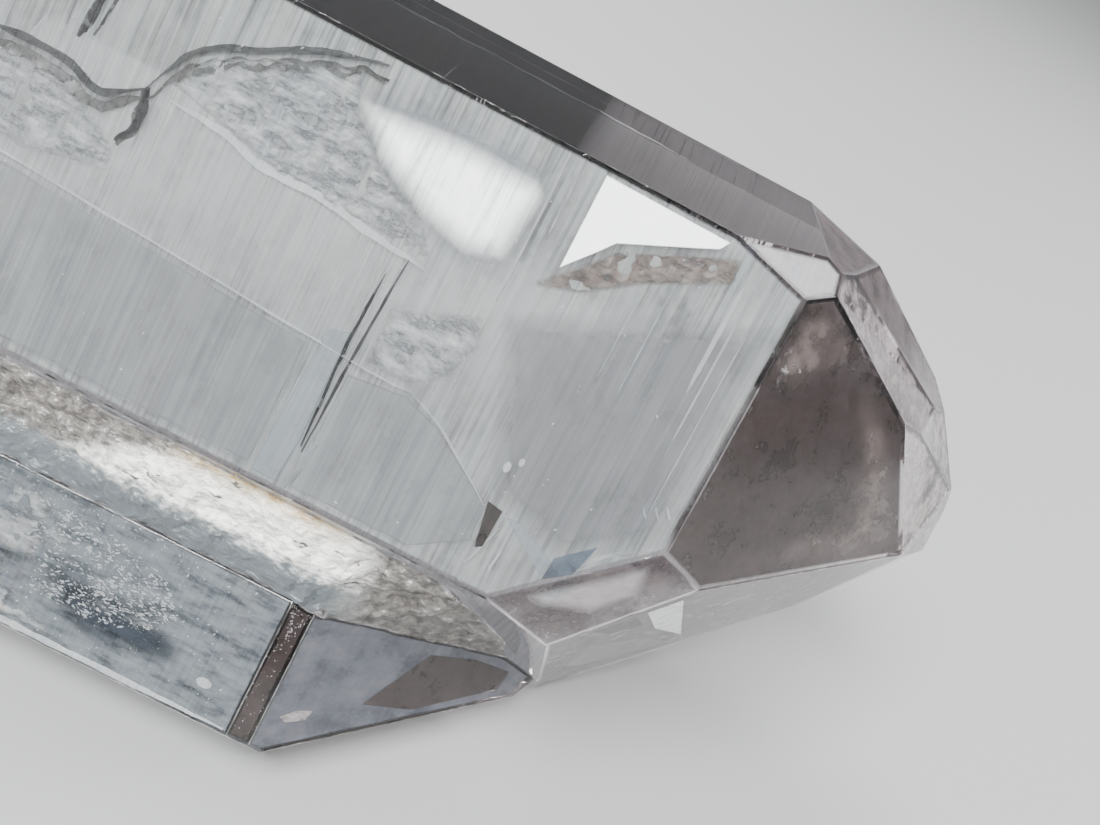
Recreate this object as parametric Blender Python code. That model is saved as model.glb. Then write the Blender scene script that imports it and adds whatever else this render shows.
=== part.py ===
"""A clear quartz point with a smaller crystal grown along its lower front side.

The two crystals share one growth direction, so their faces are parallel. The long axis of both
lies along +X, with the point at +X, and the part rests on its lower prism faces at z = 0.
A rough healed seam fills the valley between them, and the far end is a broken base.
Built in metres, +Z up.
"""

import math

import bmesh
import bpy
from mathutils import Vector, noise

MM = 0.001

# Growth form of quartz
PRISM = 90.0
RHOMB = 51.8
BIPYRAMID = 65.6
STEP_FACE = 71.0

# Turn of each prism face around +X, seen from the point, where 90 looks straight up
FRONT = 150.0
TOP = 90.0
BACK_TOP = 30.0
BACK = -30.0
BOTTOM = -90.0
LOWER_FRONT = 210.0

# Where the middle of the front face stands, from the origin at the middle of the footprint
FRONT_FACE_X = 8.55
FRONT_FACE_Y = -9.12
FLOOR_REACH = 33.7
LENGTH_BEHIND = 52.0

# Every face is (turn around +X, tilt of its normal from +X, reach from that middle in mm)
MAIN_PRISM = [
    (FRONT, PRISM, 0.0),
    (TOP, PRISM, 13.1),
    (BACK_TOP, PRISM, 22.1),
    (BACK, PRISM, 32.0),
    (BOTTOM, PRISM, FLOOR_REACH),
    (LOWER_FRONT, PRISM, 11.1),
]
MAIN_POINT = [
    (FRONT, RHOMB, 6.7),
    (97.6, 50.7, 16.83),
    (BACK_TOP, RHOMB, 34.1),
    (BACK, RHOMB, 39.5),
    (BOTTOM, RHOMB, 32.0),
    (201.4, 49.7, 11.93),
    (180.0, BIPYRAMID, 6.65),
]
# Narrow bevel beside the upper point face, the steep face behind it and the nicked shoulder
MAIN_BEVELS = [
    (106.4, 48.5, 15.28),
    (85.6, 72.8, 16.63),
    (108.6, 79.9, 10.76),
]
# The tip is broken off in four small facets
MAIN_CHIPS = [
    (132.4, 41.2, 13.4),
    (109.6, 43.1, 16.6),
    (145.2, 31.3, 18.06),
    (205.3, 43.0, 16.0),
]
SIDE_FACES = [
    (FRONT, PRISM, -3.0),
    (TOP, PRISM, -19.0),
    (BACK_TOP, PRISM, 5.0),
    (BACK, PRISM, 28.0),
    (BOTTOM, PRISM, FLOOR_REACH),
    (LOWER_FRONT, PRISM, 25.5),
    (FRONT, STEP_FACE, -5.9),
    (FRONT, RHOMB, -7.6),
    (LOWER_FRONT, RHOMB, 15.8),
    (BOTTOM, RHOMB, 29.0),
]
# The tip of the side crystal is nicked
SIDE_CHIP = (172.0, 32.0, 4.2)

# Both blocks start this far behind the breaks that end them
BLOCK_END = (FRONT, 180.0, LENGTH_BEHIND + 12.0)
BLOCK_SIZE = 300.0

# The broken base: flat breaks and one shell-shaped hollow
BASE_BREAKS = [
    (FRONT, 180.0, LENGTH_BEHIND),
    (120.0, 158.0, 50.0),
    (20.0, 160.0, 55.0),
    (-70.0, 155.0, 60.5),
    (215.0, 150.0, 54.0),
]
HOLLOW_RADIUS = 26.0
HOLLOW_DEPTH = 2.6
# Where the hollow's middle lies: depth and height on the front face, then this far off to a side
HOLLOW_PLACE = (-15.0, -3.0)
HOLLOW_TURN = 35.0
HOLLOW_OFFSET = 9.0

# The rough seam, in steps along the crystal and rows across it
SEAM_START = -58.0
SEAM_END = 9.0
SEAM_STATIONS = 46
SEAM_ROWS = 6
# Its upper edge as (depth, height), which slopes in and down over each mm past the middle
SEAM_UPPER = (-0.7, -12.2)
SEAM_UPPER_SLOPE = (-0.79, -0.455)
# Its lower edge, and where that runs from and by how much beside the side crystal's point
SEAM_LOWER = (-3.5, -21.0)
SEAM_TURN = -8.0
SEAM_LOWER_TURNED = (-3.8, -21.2)
SEAM_LOWER_RUN = (-14.0, -1.0)
# The ridge that closes the seam inside both crystals, this far behind and above its lower edge
SEAM_RIDGE = (-8.5, 2.6)
# Its swell, the size and height of its lumps, finer grain, sideways shift, and where they flatten
SEAM_SWELL = 0.35
SEAM_ROUGHNESS = 0.42
SEAM_LUMP = 3.2
SEAM_LUMP_SHAPE = 1.3
SEAM_GRAIN = (1.1, 1.4)
SEAM_SHIFT = 0.5
SEAM_RISE = (0.75, -0.6)
SEAM_FADE = 2.0
# Where each noise pattern is read, so that the three differ
LUMP_SEED = 4.7
GRAIN_SEED = 9.1
SHIFT_SEED = 1.3


def axes():
    """The front face's outward normal and its upward direction, both square to +X."""
    turn = math.radians(FRONT)
    outward = Vector((0.0, math.cos(turn), math.sin(turn)))
    upward = Vector((0.0, math.sin(turn), -math.cos(turn)))
    return outward, upward


OUTWARD, UPWARD = axes()
DATUM = Vector((FRONT_FACE_X, FRONT_FACE_Y, FLOOR_REACH)) * MM


def place(depth, height, along):
    """A point at a depth behind (negative) the front face, a height on it and a place along +X."""
    return DATUM + (OUTWARD * depth + UPWARD * height + Vector((1.0, 0.0, 0.0)) * along) * MM


def face_plane(turn, tilt, reach):
    """A point on a face and its outward normal."""
    around = math.radians(turn)
    lean = math.radians(tilt)
    ring = math.sin(lean)
    normal = Vector((math.cos(lean), ring * math.cos(around), ring * math.sin(around)))
    return DATUM + normal * reach * MM, normal


def collection(name):
    made = bpy.data.collections.new(name)
    bpy.context.scene.collection.children.link(made)
    return made


def faceted_block(name, faces, group):
    """Cut a block down to its faces, one flat cut for each."""
    mesh = bpy.data.meshes.new(name)
    work = bmesh.new()
    bmesh.ops.create_cube(work, size=BLOCK_SIZE * MM)
    for turn, tilt, reach in faces:
        point, normal = face_plane(turn, tilt, reach)
        everything = work.verts[:] + work.edges[:] + work.faces[:]
        cut = bmesh.ops.bisect_plane(work, geom=everything, dist=1e-7, plane_co=point,
                                     plane_no=normal, clear_outer=True)
        rim = [item for item in cut["geom_cut"] if isinstance(item, bmesh.types.BMEdge)]
        if rim:
            bmesh.ops.edgeloop_fill(work, edges=rim)
    bmesh.ops.remove_doubles(work, verts=work.verts[:], dist=1e-6)
    bmesh.ops.recalc_face_normals(work, faces=work.faces[:])
    work.to_mesh(mesh)
    work.free()
    made = bpy.data.objects.new(name, mesh)
    group.objects.link(made)
    return made


def slide(start, run, amount):
    return start[0] + run[0] * amount, start[1] + run[1] * amount


def seam_edges(along):
    """The seam's upper edge under the front face and its lower edge on the side crystal."""
    upper = slide(SEAM_UPPER, SEAM_UPPER_SLOPE, max(0.0, along))
    if along <= SEAM_TURN:
        return upper, SEAM_LOWER
    share = (along - SEAM_TURN) / (SEAM_END - SEAM_TURN)
    return upper, slide(SEAM_LOWER_TURNED, SEAM_LOWER_RUN, share)


def seam_block(name, group):
    """The lumpy surface between the crystals, closed by a ridge inside them."""
    mesh = bpy.data.meshes.new(name)
    work = bmesh.new()
    rings = []
    for station in range(SEAM_STATIONS):
        along = SEAM_START + (SEAM_END - SEAM_START) * station / (SEAM_STATIONS - 1)
        upper, lower = seam_edges(along)
        fade = min(1.0, (SEAM_END - along) / (SEAM_END - SEAM_FADE))
        ring = []
        for row in range(SEAM_ROWS + 1):
            share = row / SEAM_ROWS
            depth = upper[0] + (lower[0] - upper[0]) * share
            height = upper[1] + (lower[1] - upper[1]) * share
            swell = math.sin(math.pi * share) * fade
            lump_at = (along / SEAM_LUMP, height / SEAM_LUMP * SEAM_LUMP_SHAPE, LUMP_SEED)
            bump = noise.noise(Vector(lump_at))
            grain_at = (along * SEAM_GRAIN[0], height * SEAM_GRAIN[1], GRAIN_SEED)
            grain = noise.noise(Vector(grain_at))
            rise = swell * (SEAM_SWELL + SEAM_ROUGHNESS * (2.0 * bump + grain))
            shift = swell * SEAM_SHIFT * noise.noise(Vector((along, height, SHIFT_SEED)))
            depth, height = slide((depth, height), SEAM_RISE, rise)
            ring.append(work.verts.new(place(depth, height, along + shift)))
        ridge = place(lower[0] + SEAM_RIDGE[0], lower[1] + SEAM_RIDGE[1], along)
        ring.append(work.verts.new(ridge))
        rings.append(ring)
    count = SEAM_ROWS + 2
    for first, second in zip(rings, rings[1:]):
        for index in range(count):
            after = (index + 1) % count
            work.faces.new((first[index], first[after], second[after], second[index]))
    work.faces.new(rings[0])
    work.faces.new(list(reversed(rings[-1])))
    bmesh.ops.triangulate(work, faces=work.faces[:])
    bmesh.ops.recalc_face_normals(work, faces=work.faces[:])
    work.to_mesh(mesh)
    work.free()
    made = bpy.data.objects.new(name, mesh)
    group.objects.link(made)
    return made


def base_hollow(name, group):
    """A shallow shell-shaped break in the base, a coarse ball that dips into it."""
    mesh = bpy.data.meshes.new(name)
    work = bmesh.new()
    bmesh.ops.create_icosphere(work, subdivisions=3, radius=HOLLOW_RADIUS * MM)
    work.to_mesh(mesh)
    work.free()
    made = bpy.data.objects.new(name, mesh)
    side = math.radians(HOLLOW_TURN)
    middle = Vector((0.0, math.cos(side), math.sin(side))) * HOLLOW_OFFSET
    along = -LENGTH_BEHIND - HOLLOW_RADIUS + HOLLOW_DEPTH
    made.location = place(HOLLOW_PLACE[0], HOLLOW_PLACE[1], along) + middle * MM
    group.objects.link(made)
    return made


def tool_only(piece):
    piece.hide_render = True
    piece.display_type = "WIRE"


def boolean(target, tool, operation):
    step = target.modifiers.new(operation.title() + " " + tool.name, "BOOLEAN")
    step.operation = operation
    step.solver = "EXACT"
    step.object = tool
    tool_only(tool)


def clear_quartz():
    material = bpy.data.materials.new("clear_quartz")
    material.use_nodes = True
    shader = material.node_tree.nodes["Principled BSDF"]
    shader.inputs["Base Color"].default_value = (0.9, 0.92, 0.94, 1.0)
    shader.inputs["Roughness"].default_value = 0.06
    shader.inputs["Metallic"].default_value = 0.0
    shader.inputs["Transmission Weight"].default_value = 1.0
    shader.inputs["IOR"].default_value = 1.544
    return material


def build():
    for leftover in list(bpy.data.objects):
        bpy.data.objects.remove(leftover, do_unlink=True)
    part = collection("quartz_point")
    cutters = collection("cutters")
    main_faces = MAIN_PRISM + MAIN_POINT + MAIN_BEVELS + MAIN_CHIPS
    crystal = faceted_block("quartz_crystal", main_faces + [BLOCK_END], part)
    side = faceted_block("side_crystal", SIDE_FACES + [SIDE_CHIP, BLOCK_END], cutters)
    seam = seam_block("seam", cutters)
    base = faceted_block("base_breaks", BASE_BREAKS, cutters)
    hollow = base_hollow("base_hollow", cutters)
    boolean(crystal, side, "UNION")
    boolean(crystal, seam, "UNION")
    boolean(crystal, base, "INTERSECT")
    boolean(crystal, hollow, "DIFFERENCE")
    crystal.data.materials.append(clear_quartz())


build()
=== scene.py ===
import math
import random

import bmesh
import bpy
from mathutils import Matrix, Vector, noise


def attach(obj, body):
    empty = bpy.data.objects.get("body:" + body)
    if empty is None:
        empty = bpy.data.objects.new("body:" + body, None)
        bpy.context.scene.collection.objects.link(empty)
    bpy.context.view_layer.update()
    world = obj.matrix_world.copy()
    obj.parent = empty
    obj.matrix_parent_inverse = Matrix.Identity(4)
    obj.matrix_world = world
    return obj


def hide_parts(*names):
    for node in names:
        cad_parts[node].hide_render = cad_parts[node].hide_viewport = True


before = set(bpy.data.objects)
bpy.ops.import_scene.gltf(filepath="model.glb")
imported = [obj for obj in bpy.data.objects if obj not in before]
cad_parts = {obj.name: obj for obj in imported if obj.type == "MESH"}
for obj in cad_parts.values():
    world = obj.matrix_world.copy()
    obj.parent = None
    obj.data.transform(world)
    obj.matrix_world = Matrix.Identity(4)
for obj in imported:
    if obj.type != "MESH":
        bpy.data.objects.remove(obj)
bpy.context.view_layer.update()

MM = 0.001
BODY = "root"
NODE = "quartz_crystal"

# The front face: its middle, its outward direction and the direction up along it. Then the
# crystal's length and the outward directions of the other prism faces
FACE_MIDDLE = Vector((8.55, -9.12, 33.7)) * MM
FACE_TURN = math.radians(150.0)
OUTWARD = Vector((0.0, math.cos(FACE_TURN), math.sin(FACE_TURN)))
UPWARD = Vector((0.0, math.sin(FACE_TURN), -math.cos(FACE_TURN)))
ALONG = Vector((1.0, 0.0, 0.0))
TOP = Vector((0.0, 0.0, 1.0))
LOWER = Vector((0.0, math.cos(math.radians(210.0)), math.sin(math.radians(210.0))))
BACK_UPPER = Vector((0.0, math.cos(math.radians(30.0)), 0.5))
BACK_LOWER = Vector((0.0, math.cos(math.radians(30.0)), -0.5))

# The photograph's view: nearly square to the front face, close and rolled
CAMERA_AZIMUTH = -2.79
CAMERA_ELEVATION = 37.82
CAMERA_ROLL = -29.18
CAMERA_DISTANCE = 64.47 * MM
CAMERA_LENS = 33.45
SENSOR_WIDTH = 36.0
CAMERA_CLIP = 0.5 * MM

# Quartz
QUARTZ_IOR = 1.544
SMOKE_COLOUR = (0.80, 0.70, 0.72, 1.0)
SMOKE_DENSITY = 16.0

# The seam between the crystals, as ranges along the crystal and up the front face in mm
SEAM_ALONG = (-60.0, 9.5)
SEAM_HEIGHT = (-23.5, -11.6)
# Its faces are smaller than this, in square mm, and are divided by this many cuts
SMALL_LUMP = 9.0
SEAM_CUTS = 3
# How far its fine lumps stand out and how wide they are, in mm
SEAM_RELIEF = 0.30
SEAM_LUMP = 1.0
# Faces that look back along the crystal this steeply belong to the broken base
BASE_NORMAL = -0.6
# It is divided this finely, and its shells are this deep and wide, in mm
BASE_CELL = 1.3
BASE_RELIEF = 0.45
BASE_SHELL = 3.5

# The side crystal's front face lies this far in, and its band of painted glints, as along and height
SIDE_DEPTH = -3.0
SIDE_SPARKLE = [(-28.5, -21.4), (-24.0, -21.2), (-17.6, -22.6), (-15.6, -25.2), (-17.5, -27.2),
                (-22.0, -28.4), (-26.7, -28.0)]

# Worn edges, in mm: their width, how deep their notches go, how long each step is and each notch
EDGE_BEVEL = 0.14
EDGE_NOTCH = 0.10
EDGE_STEP = 0.7
NOTCH_SPAN = 0.8
# An edge is worn where it bends more than this, between faces larger than this in square mm, and is
# longer than this in mm. Of its steps, those are worn that bend more than the last angle
SHARP_ANGLE = math.radians(8.0)
SMALL_FACE = 3.0
SHORT_EDGE = 1.0
BENT_ANGLE = math.radians(6.0)
# The point and the side crystal have the most chipped edges: past these places, in mm
BATTERED_ALONG = (13.0, 20.0)
BATTERED_HEIGHT = (-16.0, -20.0)
# Elsewhere the notches have this share of their depth
CALM_NOTCH = 0.3

# Growth lines, in mm: the plain border, the room left at both ends, the length of a step's slope,
# the shortest way to the next step, and the height of the shelves across them
LINE_BORDER = 0.12
LINE_MARGIN = 0.3
LINE_SLOPE = 0.06
LINE_CLOSEST = 0.12
LINE_SHELF = 2.2
# A corner lies on a growth line when it is this near, in mm
LINE_NEAR = 0.02
# Each lined face: its normal, its rank by area, a seed, its deepest step and widest gap in mm
LINED_FACES = [
    (OUTWARD, 1, 12, 0.04, 0.9),
    (OUTWARD, 0, 11, 0.04, 1.1),
    (TOP, 0, 13, 0.012, 2.4),
    (LOWER, 0, 14, 0.05, 1.0),
    (BACK_UPPER, 0, 15, 0.05, 1.2),
    (BACK_LOWER, 0, 16, 0.05, 1.2),
]

# What each part of the surface is, kept on its faces, and how rough the base is next to the seam
SEAM_ZONE = 1
EDGE_ZONE = 2
BASE_ZONE = 3
BASE_ROUGHNESS = 0.55

# Faces look the same way where the dot product of their normals is above this
SAME_FACE = 0.9998

# The studio: each lamp's place and size in metres, its power in watts and its colour
LAMPS = [
    ("window", (-0.14, -0.27, 0.54), (0.40, 0.26), 14.5, (0.97, 0.99, 0.98)),
    ("key", (-0.20, 0.25, 0.42), (0.25, 0.25), 3.4, (1.0, 1.0, 1.0)),
    ("rim", (0.38, 0.20, 0.14), (0.2, 0.12), 2.0, (1.0, 1.0, 1.0)),
]
LAMP_TARGET = Vector((0.0, 0.0, 20.0)) * MM
SKY_COLOUR = (0.80, 0.83, 0.86, 1.0)
SKY_STRENGTH = 0.40
SOFT_SUN_STRENGTH = 1.1
SOFT_SUN_SPREAD = math.radians(80.0)
SOFT_SUN_TURN = (math.radians(25.0), math.radians(-15.0), 0.0)
FLOOR_REACH = 3.0
FLOOR_COLOUR = (0.27, 0.27, 0.27, 1.0)
FLOOR_ROUGHNESS = 0.8

# Colours of the surface, each pair from dark to light: lined prism faces, the smoky point, the top
# face's painted shade from the hidden end to the point, and the seam's crust, dirt, marks and glassy
# lower edge
LINED_COLOURS = ((0.74, 0.79, 0.84, 1.0), (0.985, 0.99, 1.0, 1.0))
SMOKY_COLOURS = ((0.70, 0.60, 0.61, 1.0), (0.88, 0.83, 0.84, 1.0))
TOP_SHADE_BEHIND = (0.006, 0.006, 0.006, 1.0)
TOP_SHADE_MIDDLE = (0.16, 0.15, 0.15, 1.0)
TOP_SHADE_AHEAD = (0.46, 0.43, 0.42, 1.0)
CREAM_COLOURS = ((0.62, 0.60, 0.56, 1.0), (0.95, 0.94, 0.90, 1.0))
DIRT_COLOURS = ((0.045, 0.038, 0.035, 1.0), (0.20, 0.182, 0.168, 1.0))
CRUMB_COLOUR = (0.75, 0.73, 0.70, 1.0)
IRON_COLOUR = (0.40, 0.27, 0.10, 1.0)
MARK_COLOUR = (0.10, 0.09, 0.08, 1.0)
GLASSY_COLOUR = (0.20, 0.23, 0.25, 1.0)
CHIPPED_COLOUR = (0.97, 0.97, 0.96, 1.0)
VEIL_ROUGHNESS = (0.21, 0.39)


def spot(along, height, depth=0.0):
    """A point given in mm along the crystal, up the front face and out from it."""
    return FACE_MIDDLE + (ALONG * along + UPWARD * height + OUTWARD * depth) * MM


def local(point):
    """The place of a point as (along, height, depth) in mm."""
    away = (Vector(point) - FACE_MIDDLE) / MM
    return away.x, away.dot(UPWARD), away.dot(OUTWARD)


def turned_normal(turn, tilt):
    """The normal at these degrees around the crystal's length and away from its point."""
    around = math.radians(turn)
    lean = math.radians(tilt)
    return Vector((math.cos(lean), math.sin(lean) * math.cos(around), math.sin(lean) * math.sin(around)))


def place_camera():
    data = bpy.data.cameras.new("camera")
    camera = bpy.data.objects.new("camera", data)
    bpy.context.scene.collection.objects.link(camera)
    azimuth = math.radians(CAMERA_AZIMUTH)
    elevation = math.radians(CAMERA_ELEVATION)
    back = Vector((math.cos(elevation) * math.sin(azimuth),
                   -math.cos(elevation) * math.cos(azimuth),
                   math.sin(elevation)))
    right = Vector((0.0, 0.0, 1.0)).cross(back).normalized()
    up = back.cross(right)
    turned = Matrix.Rotation(math.radians(-CAMERA_ROLL), 3, back)
    right = turned @ right
    up = turned @ up
    matrix = Matrix((right, up, back)).transposed().to_4x4()
    matrix.translation = FACE_MIDDLE + back * CAMERA_DISTANCE
    camera.matrix_world = matrix
    data.lens = CAMERA_LENS
    data.sensor_width = SENSOR_WIDTH
    data.sensor_fit = "HORIZONTAL"
    data.clip_start = CAMERA_CLIP
    bpy.context.scene.camera = camera


def add_lamp(name, kind):
    data = bpy.data.lights.new(name, kind)
    lamp = bpy.data.objects.new(name, data)
    bpy.context.scene.collection.objects.link(lamp)
    return lamp, data


def area_lamp(name, place, size, power, colour):
    lamp, data = add_lamp(name, "AREA")
    data.shape = "RECTANGLE"
    data.size = size[0]
    data.size_y = size[1]
    data.energy = power
    data.color = colour
    lamp.location = place
    lamp.rotation_euler = (LAMP_TARGET - Vector(place)).to_track_quat("-Z", "Y").to_euler()


def soft_sun():
    """A very wide sun that fills the shadows."""
    lamp, data = add_lamp("sky_light", "SUN")
    data.energy = SOFT_SUN_STRENGTH
    data.angle = SOFT_SUN_SPREAD
    lamp.rotation_euler = SOFT_SUN_TURN


def pale_floor():
    mesh = bpy.data.meshes.new("floor")
    work = bmesh.new()
    bmesh.ops.create_grid(work, x_segments=1, y_segments=1, size=FLOOR_REACH)
    work.to_mesh(mesh)
    work.free()
    floor = bpy.data.objects.new("floor", mesh)
    bpy.context.scene.collection.objects.link(floor)
    paint = bpy.data.materials.new("floor_paint")
    paint.use_nodes = True
    shader = paint.node_tree.nodes["Principled BSDF"]
    shader.inputs["Base Color"].default_value = FLOOR_COLOUR
    shader.inputs["Roughness"].default_value = FLOOR_ROUGHNESS
    mesh.materials.append(paint)


def studio():
    world = bpy.data.worlds.new("studio")
    bpy.context.scene.world = world
    world.use_nodes = True
    sky = world.node_tree.nodes["Background"]
    sky.inputs["Color"].default_value = SKY_COLOUR
    sky.inputs["Strength"].default_value = SKY_STRENGTH
    for lamp in LAMPS:
        area_lamp(*lamp)
    soft_sun()
    pale_floor()


def light_paths():
    """Enough bounces for clear quartz with sheets inside it, and no more."""
    cycles = bpy.context.scene.cycles
    cycles.max_bounces = 7
    cycles.glossy_bounces = 5
    cycles.transmission_bounces = 7
    cycles.transparent_max_bounces = 8
    cycles.caustics_reflective = False
    cycles.use_light_tree = False
    cycles.use_denoising = True


# Node helpers

def feed(tree, socket, value):
    if isinstance(value, bpy.types.NodeSocket):
        tree.links.new(value, socket)
    else:
        socket.default_value = value


def node(tree, kind, inputs=None, **settings):
    made = tree.nodes.new(kind)
    for key, value in settings.items():
        setattr(made, key, value)
    for key, value in (inputs or {}).items():
        feed(tree, made.inputs[key], value)
    return made


def maths(tree, operation, first, second=0.0, clamp=False):
    made = node(tree, "ShaderNodeMath", {0: first, 1: second}, operation=operation, use_clamp=clamp)
    return made.outputs[0]


def spread(tree, value, low, high, start=0.0, end=1.0):
    """Map a value from one range to another, clamped."""
    made = node(tree, "ShaderNodeMapRange", {"Value": value, "From Min": low, "From Max": high,
                                             "To Min": start, "To Max": end})
    return made.outputs[0]


def blend(tree, share, first, second):
    made = node(tree, "ShaderNodeMix", {0: share, 6: first, 7: second}, data_type="RGBA")
    return made.outputs[2]


def place_on_crystal(tree):
    """Coordinates in mm that run along the crystal, up the front face and out from it."""
    spot_node = node(tree, "ShaderNodeTexCoord").outputs["Object"]
    shifted = node(tree, "ShaderNodeVectorMath", {0: spot_node, 1: tuple(-FACE_MIDDLE)},
                   operation="ADD").outputs[0]
    parts = []
    for direction in (ALONG, UPWARD, OUTWARD):
        dot = node(tree, "ShaderNodeVectorMath", {0: shifted, 1: tuple(direction / MM)},
                   operation="DOT_PRODUCT")
        parts.append(dot.outputs["Value"])
    joined = node(tree, "ShaderNodeCombineXYZ", {0: parts[0], 1: parts[1], 2: parts[2]})
    return joined.outputs[0], parts[0], parts[1]


def stretched(tree, vector, scale):
    return node(tree, "ShaderNodeMapping", {"Vector": vector, "Scale": scale}).outputs[0]


def cloud(tree, vector, scale, detail, roughness):
    made = node(tree, "ShaderNodeTexNoise", {"Vector": vector, "Scale": scale, "Detail": detail,
                                             "Roughness": roughness})
    return made.outputs["Fac"]


def stored(tree, name):
    """A value that the mesh keeps under a name."""
    return node(tree, "ShaderNodeAttribute", attribute_name=name).outputs["Fac"]


def new_material(name):
    material = bpy.data.materials.new(name)
    material.use_nodes = True
    tree = material.node_tree
    return material, tree, tree.nodes["Principled BSDF"]


# Materials

def clear_colour(tree, along, prism, top, place, grain):
    """Growth lines darken the prism faces a little, the point is smoky, and the top face is painted dark
    as shade, darkest at the hidden end.
    """
    lines = cloud(tree, stretched(tree, place, (4.5, 0.05, 0.05)), 1.0, 1.0, 0.7)
    lined = blend(tree, spread(tree, lines, 0.36, 0.60), *LINED_COLOURS)
    smoky = blend(tree, spread(tree, grain, 0.35, 0.65), *SMOKY_COLOURS)
    clear = blend(tree, prism, smoky, lined)
    # Painted shade: the top face runs from near black at the hidden end to grey toward the point
    dusk = blend(tree, spread(tree, along, -6.2, -4.6), TOP_SHADE_BEHIND, TOP_SHADE_MIDDLE)
    dusk = blend(tree, spread(tree, along, -3.0, 16.0), dusk, TOP_SHADE_AHEAD)
    return blend(tree, top, clear, dusk)


def seam_colour(tree, along, ragged, right_end, place, grain):
    """Cream-white in the middle and dirty grey at both ends, with an iron stain along the upper edge,
    dark marks, and a glassy lower edge."""
    cream = blend(tree, spread(tree, grain, 0.38, 0.50), *CREAM_COLOURS)
    off_middle = maths(tree, "ABSOLUTE", maths(tree, "ADD", along, 14.5))
    iron = maths(tree, "MULTIPLY", spread(tree, ragged, -13.2, -11.8),
                 spread(tree, off_middle, 8.0, 5.5))
    cream = blend(tree, iron, cream, IRON_COLOUR)
    streaks = cloud(tree, stretched(tree, place, (0.35, 1.1, 1.1)), 1.0, 3.0, 0.6)
    marked = blend(tree, spread(tree, streaks, 0.325, 0.36), MARK_COLOUR, cream)
    slant = maths(tree, "SUBTRACT", ragged, maths(tree, "MULTIPLY", along, 0.47))
    ends = maths(tree, "MAXIMUM", right_end, spread(tree, slant, -3.4, -2.2))
    crumbs = cloud(tree, place, 1.3, 4.0, 0.7)
    dirty = blend(tree, spread(tree, crumbs, 0.40, 0.58), *DIRT_COLOURS)
    dirty = blend(tree, spread(tree, crumbs, 0.62, 0.68), dirty, CRUMB_COLOUR)
    skin = blend(tree, maths(tree, "MULTIPLY", ends, 0.95), marked, dirty)
    glassy = maths(tree, "MULTIPLY", spread(tree, ragged, -15.4, -16.6),
                   maths(tree, "SUBTRACT", 1.0, right_end))
    return blend(tree, glassy, skin, GLASSY_COLOUR)


def quartz_material():
    """Clear, faintly smoky quartz: lined prism faces, smooth point, rough seam and base."""
    material, tree, shader = new_material("quartz")
    shader.inputs["IOR"].default_value = QUARTZ_IOR
    place, along, height = place_on_crystal(tree)
    geometry = node(tree, "ShaderNodeNewGeometry")
    facing = node(tree, "ShaderNodeSeparateXYZ", {0: geometry.outputs["Normal"]})
    prism = spread(tree, maths(tree, "ABSOLUTE", facing.outputs[0]), 0.25, 0.12)
    # Seen from inside, the bottom's normal points up too: only the outer side counts as the top
    top = maths(tree, "SUBTRACT", spread(tree, facing.outputs[2], 0.97, 0.99),
                geometry.outputs["Backfacing"], True)
    rough = stored(tree, "rough")
    battered = maths(tree, "MAXIMUM", spread(tree, height, *BATTERED_HEIGHT, 0.12, 1.0),
                     spread(tree, along, *BATTERED_ALONG, 0.0, 0.85))
    worn = maths(tree, "MULTIPLY", stored(tree, "worn"), battered)
    grain = cloud(tree, stretched(tree, place, (1.0, 1.9, 1.9)), 1.0, 3.0, 0.65)
    relief = node(tree, "ShaderNodeBump", {"Height": maths(tree, "MULTIPLY", grain, rough),
                                           "Distance": 0.25 * MM})
    feed(tree, shader.inputs["Normal"], relief.outputs[0])

    ragged = maths(tree, "ADD", height, maths(tree, "MULTIPLY", grain, 3.0))
    right_end = spread(tree, along, -7.4, -4.8)
    clear = clear_colour(tree, along, prism, top, place, grain)
    skin = seam_colour(tree, along, ragged, right_end, place, grain)
    shade = blend(tree, rough, clear, skin)
    shade = blend(tree, maths(tree, "MULTIPLY", worn, 0.8), shade, CHIPPED_COLOUR)
    feed(tree, shader.inputs["Base Color"], shade)

    # The seam's upper part and the chipped edges let little light through
    cloudy = maths(tree, "MAXIMUM", spread(tree, ragged, -17.0, -15.0, 0.45, 0.95),
                   maths(tree, "MULTIPLY", right_end, 0.80))
    opaque = maths(tree, "MULTIPLY", cloudy, rough)
    chipped = maths(tree, "MULTIPLY", spread(tree, grain, 0.38, 0.58, 0.35, 0.95), worn)
    feed(tree, shader.inputs["Transmission Weight"],
         maths(tree, "SUBTRACT", 1.0, maths(tree, "MAXIMUM", opaque, chipped), True))
    dull = maths(tree, "ADD", maths(tree, "MULTIPLY", rough, 0.30), maths(tree, "MULTIPLY", worn, 0.20))
    feed(tree, shader.inputs["Roughness"], dull)

    absorb = node(tree, "ShaderNodeVolumeAbsorption")
    absorb.inputs["Color"].default_value = SMOKE_COLOUR
    absorb.inputs["Density"].default_value = SMOKE_DENSITY
    tree.links.new(absorb.outputs[0], tree.nodes["Material Output"].inputs["Volume"])
    return material


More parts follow.
